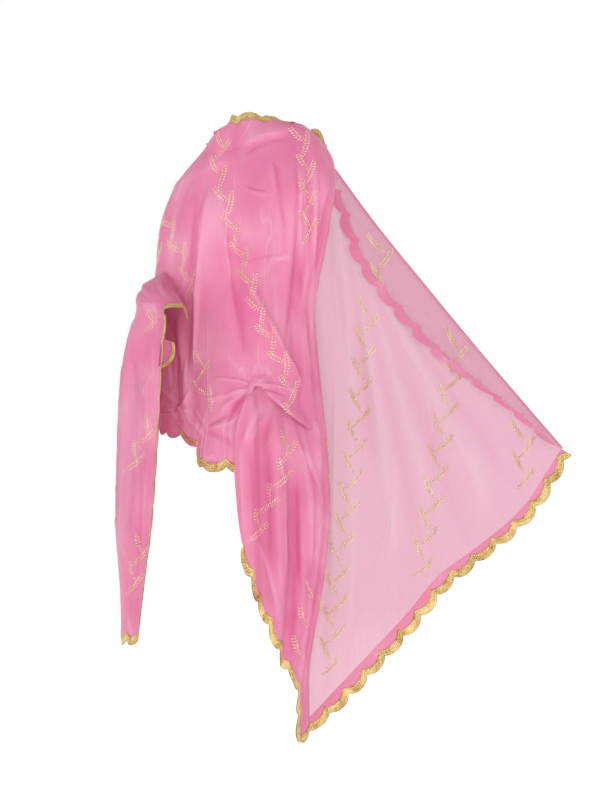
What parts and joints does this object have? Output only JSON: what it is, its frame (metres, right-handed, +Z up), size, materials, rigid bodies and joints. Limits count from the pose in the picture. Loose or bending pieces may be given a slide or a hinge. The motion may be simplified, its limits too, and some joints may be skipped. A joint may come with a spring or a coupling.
{
  "type": "dupatta stole, worn draped",
  "caption": "Sheer pink organza dupatta draped over both shoulders, with a gold scalloped border, vine embroidery and a spread end.",
  "frame": {"origin": "between the wearer's shoulders at the height of the neckline, where the shoulders hold the cloth up", "axes": "-Y is straight ahead of the wearer, +X to the wearer's left, +Z up"},
  "size_m": [0.8398, 0.678, 1.3471],
  "materials": {
    "organza": "sheer plain-weave organza with a soft sheen",
    "doubled_organza": "organza hem turned double",
    "gold_border": "gold zari embroidery on a scalloped edge",
    "border_reverse": "wrong side of the embroidered border"
  },
  "bodies": {
    "root": {"front_drape": "organza", "right_back": "organza", "left_fall": "organza", "wing": "organza", "wing_flap": "organza", "flap_border": "border_reverse", "end_band": "doubled_organza", "wing_end_border": "gold_border", "back_fold": "organza", "right_fall": "organza", "right_end_border": "gold_border", "right_fall_border": "gold_border", "forearm_wrap": "organza", "wrist_border": "gold_border", "hand_flap": "organza", "hand_flap_border": "gold_border", "neck_border": "gold_border", "front_hem_border": "gold_border", "back_border": "gold_border", "left_fall_border": "gold_border"}
  },
  "joints": []
}
